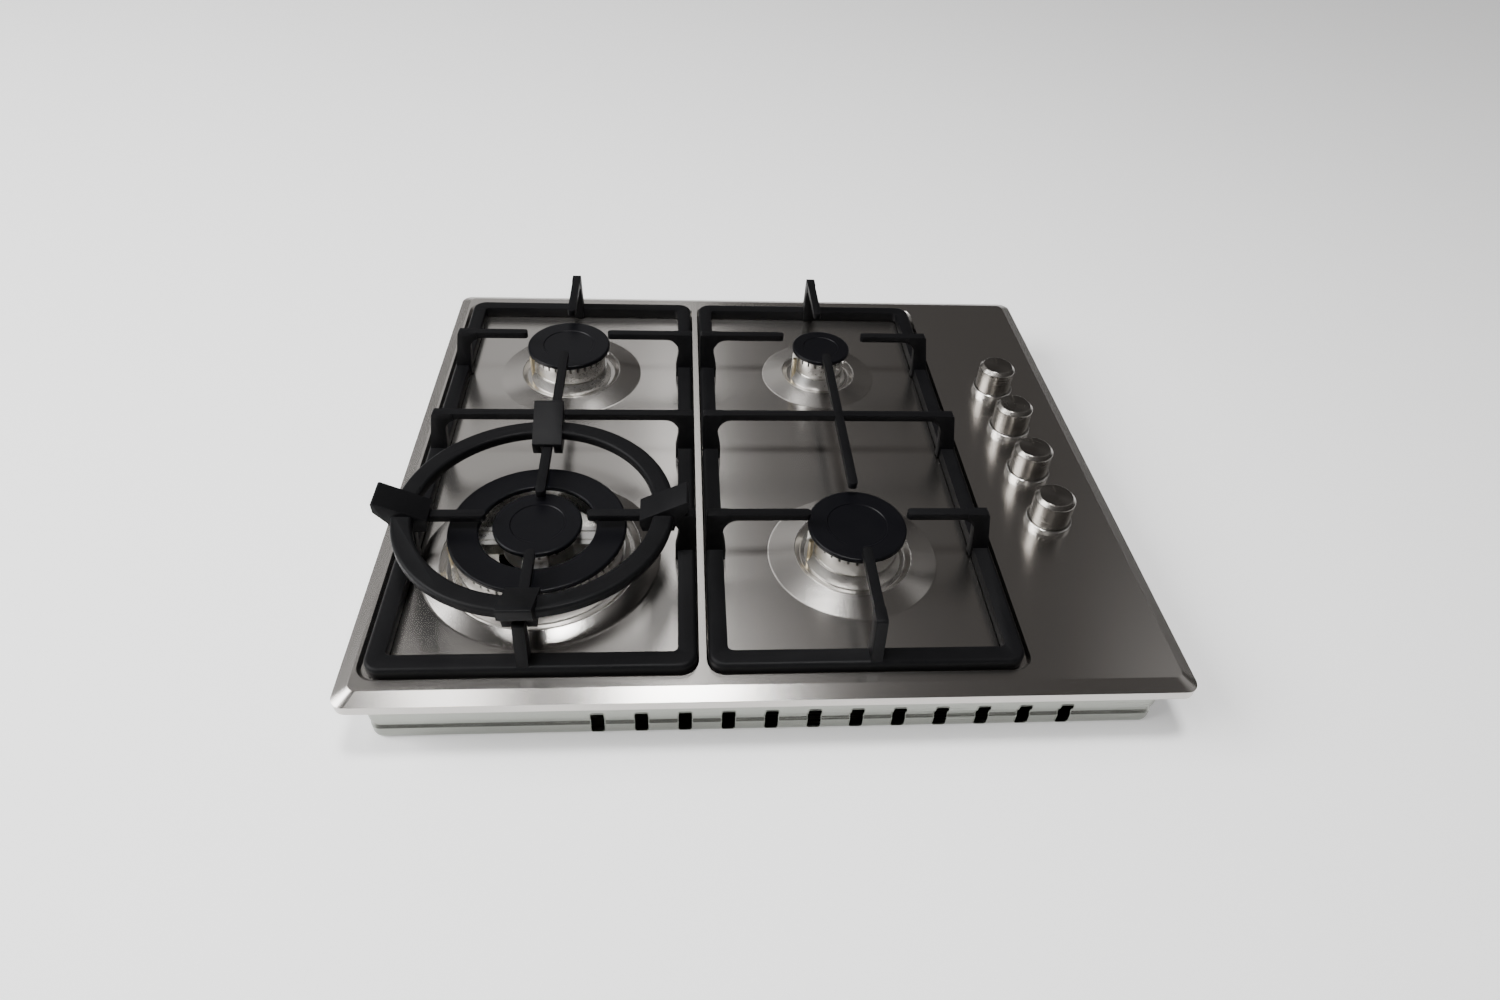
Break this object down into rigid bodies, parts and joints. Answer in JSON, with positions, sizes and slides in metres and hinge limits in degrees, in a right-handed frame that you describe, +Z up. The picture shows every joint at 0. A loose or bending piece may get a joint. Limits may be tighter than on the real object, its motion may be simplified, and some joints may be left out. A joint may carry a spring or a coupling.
{
  "type": "gas cooktop",
  "caption": "Built-in stainless gas hob with a wok burner, round burners, two cast-iron pan supports, a wok ring and side knobs.",
  "frame": {"origin": "centre of the case bottom, which is the middle of the panel seen from above", "axes": "+X to the knob side, +Y to the rear edge, +Z up; the front edge faces -Y"},
  "size_m": [0.58, 0.51, 0.1245],
  "materials": {
    "panel_steel": "brushed",
    "case_steel": "brushed",
    "cast_iron": "matt black enamel",
    "cap_enamel": "satin black enamel",
    "burner_alloy": "machined",
    "knob_metal": "brushed",
    "bezel_metal": "polished",
    "brass": "machined",
    "stem_steel": "turned",
    "fixings_zinc": "zinc plated",
    "pipe_alloy": "drawn",
    "seal_rubber": "matt",
    "lead_rubber": "silicone",
    "black_plastic": "moulded",
    "white_ceramic": "glazed"
  },
  "bodies": {
    "root": {"top_panel": "panel_steel", "bottom_case": "case_steel", "rim_seal": "seal_rubber", "case_brackets": "fixings_zinc", "case_screws": "fixings_zinc", "burner_cup_rear_right": "burner_alloy", "burner_cup_rear_left": "burner_alloy", "burner_cup_wok": "burner_alloy", "burner_cup_front_right": "burner_alloy", "gas_pipe_rear_right": "pipe_alloy", "gas_pipe_rear_left": "pipe_alloy", "gas_pipe_wok": "pipe_alloy", "gas_pipe_front_right": "pipe_alloy", "injectors": "brass", "burner_nuts": "fixings_zinc", "spark_electrodes": "white_ceramic", "thermocouples": "brass", "knob_bezels": "bezel_metal", "stem_seals": "seal_rubber", "ignition_switches": "black_plastic", "gas_rail": "fixings_zinc", "gas_inlet": "brass", "rail_brackets": "fixings_zinc", "ignition_generator": "black_plastic", "spark_leads": "lead_rubber", "cable_grommet": "seal_rubber", "tap_body_1": "brass", "tap_body_2": "brass", "tap_body_3": "brass", "tap_body_4": "brass"},
    "valve_1": {"tap_plug_1": "brass", "tap_spring_1": "stem_steel"},
    "control_1": {"knob_1": "knob_metal", "tap_stem_1": "stem_steel"},
    "valve_2": {"tap_plug_2": "brass", "tap_spring_2": "stem_steel"},
    "control_2": {"knob_2": "knob_metal", "tap_stem_2": "stem_steel"},
    "valve_3": {"tap_plug_3": "brass", "tap_spring_3": "stem_steel"},
    "control_3": {"knob_3": "knob_metal", "tap_stem_3": "stem_steel"},
    "valve_4": {"tap_plug_4": "brass", "tap_spring_4": "stem_steel"},
    "control_4": {"knob_4": "knob_metal", "tap_stem_4": "stem_steel"},
    "pan_support_left": {"pan_support_left": "cast_iron", "support_feet_left": "seal_rubber"},
    "pan_support_right": {"pan_support_right": "cast_iron", "support_feet_right": "seal_rubber"},
    "wok_ring": {"wok_ring": "cast_iron"},
    "crown_rear_right": {"crown_rear_right": "burner_alloy"},
    "cap_rear_right": {"cap_rear_right": "cap_enamel"},
    "crown_rear_left": {"crown_rear_left": "burner_alloy"},
    "cap_rear_left": {"cap_rear_left": "cap_enamel"},
    "crown_front_right": {"crown_front_right": "burner_alloy"},
    "cap_front_right": {"cap_front_right": "cap_enamel"},
    "crown_wok": {"crown_wok": "burner_alloy"},
    "cap_wok_ring": {"cap_wok_ring": "cap_enamel"},
    "cap_wok_core": {"cap_wok_core": "cap_enamel"}
  },
  "joints": [
    {"name": "knob_turn_1", "type": "hinge", "parent": "root", "child": "valve_1", "pos_m": [0.23, 0.09, 0.04], "axis": [0, 0, 1], "range_deg": [0, 210]},
    {"name": "knob_push_1", "type": "slide", "parent": "valve_1", "child": "control_1", "axis": [0, 0, -1], "range_m": [0, 0.0035], "stiffness_N_per_m": 900, "springref_m": -0.004, "deforming": ["tap_spring_1"]},
    {"name": "knob_turn_2", "type": "hinge", "parent": "root", "child": "valve_2", "pos_m": [0.23, 0.03, 0.04], "axis": [0, 0, 1], "range_deg": [0, 210]},
    {"name": "knob_push_2", "type": "slide", "parent": "valve_2", "child": "control_2", "axis": [0, 0, -1], "range_m": [0, 0.0035], "stiffness_N_per_m": 900, "springref_m": -0.004, "deforming": ["tap_spring_2"]},
    {"name": "knob_turn_3", "type": "hinge", "parent": "root", "child": "valve_3", "pos_m": [0.23, -0.03, 0.04], "axis": [0, 0, 1], "range_deg": [0, 210]},
    {"name": "knob_push_3", "type": "slide", "parent": "valve_3", "child": "control_3", "axis": [0, 0, -1], "range_m": [0, 0.0035], "stiffness_N_per_m": 900, "springref_m": -0.004, "deforming": ["tap_spring_3"]},
    {"name": "knob_turn_4", "type": "hinge", "parent": "root", "child": "valve_4", "pos_m": [0.23, -0.09, 0.04], "axis": [0, 0, 1], "range_deg": [0, 210]},
    {"name": "knob_push_4", "type": "slide", "parent": "valve_4", "child": "control_4", "axis": [0, 0, -1], "range_m": [0, 0.0035], "stiffness_N_per_m": 900, "springref_m": -0.004, "deforming": ["tap_spring_4"]},
    {"name": "support_lift_left", "type": "slide", "parent": "root", "child": "pan_support_left", "axis": [0, 0, 1], "range_m": [0, 0.15]},
    {"name": "support_lift_right", "type": "slide", "parent": "root", "child": "pan_support_right", "axis": [0, 0, 1], "range_m": [0, 0.15]},
    {"name": "ring_lift", "type": "slide", "parent": "pan_support_left", "child": "wok_ring", "axis": [0, 0, 1], "range_m": [0, 0.08]},
    {"name": "crown_lift_rear_right", "type": "slide", "parent": "root", "child": "crown_rear_right", "axis": [0, 0, 1], "range_m": [0, 0.0022]},
    {"name": "cap_lift_rear_right", "type": "slide", "parent": "crown_rear_right", "child": "cap_rear_right", "axis": [0, 0, 1], "range_m": [0, 0.0022]},
    {"name": "crown_lift_rear_left", "type": "slide", "parent": "root", "child": "crown_rear_left", "axis": [0, 0, 1], "range_m": [0, 0.0022]},
    {"name": "cap_lift_rear_left", "type": "slide", "parent": "crown_rear_left", "child": "cap_rear_left", "axis": [0, 0, 1], "range_m": [0, 0.0022]},
    {"name": "crown_lift_front_right", "type": "slide", "parent": "root", "child": "crown_front_right", "axis": [0, 0, 1], "range_m": [0, 0.0022]},
    {"name": "cap_lift_front_right", "type": "slide", "parent": "crown_front_right", "child": "cap_front_right", "axis": [0, 0, 1], "range_m": [0, 0.0022]},
    {"name": "crown_lift_wok", "type": "slide", "parent": "root", "child": "crown_wok", "axis": [0, 0, 1], "range_m": [0, 0.0022]},
    {"name": "cap_lift_wok_ring", "type": "slide", "parent": "crown_wok", "child": "cap_wok_ring", "axis": [0, 0, 1], "range_m": [0, 0.0022]},
    {"name": "cap_lift_wok_core", "type": "slide", "parent": "crown_wok", "child": "cap_wok_core", "axis": [0, 0, 1], "range_m": [0, 0.0022]}
  ]
}
